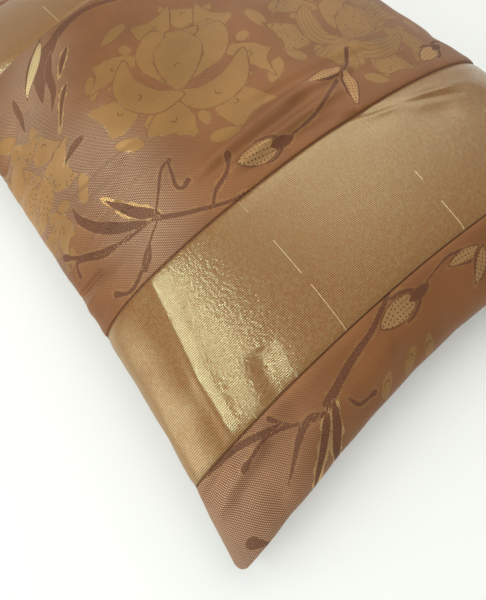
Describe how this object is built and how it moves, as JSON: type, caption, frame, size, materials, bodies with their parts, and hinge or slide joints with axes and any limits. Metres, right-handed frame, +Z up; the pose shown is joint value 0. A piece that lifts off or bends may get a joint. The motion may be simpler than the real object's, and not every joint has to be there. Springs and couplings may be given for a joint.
{
  "type": "filled cushion with a pieced cover",
  "caption": "Filled rectangular cushion with a crowned front pieced from crosswise fabric panels, drawn-in sides and soft pointed corners, lying on its back.",
  "frame": {"origin": "on the floor under the middle of the cushion", "axes": "+Z up out of the pieced front, +Y along the cushion's length across the panels, +X along the seams"},
  "size_m": [0.4756, 0.682, 0.1192],
  "materials": {
    "floral_jacquard": "satin",
    "gold_rib": "satin",
    "back_cloth": "satin"
  },
  "bodies": {
    "root": {"near_strip": "floral_jacquard", "near_gold_band": "gold_rib", "centre_panel": "floral_jacquard", "far_gold_band": "gold_rib", "far_strip": "floral_jacquard", "filled_back": "back_cloth"}
  },
  "joints": []
}
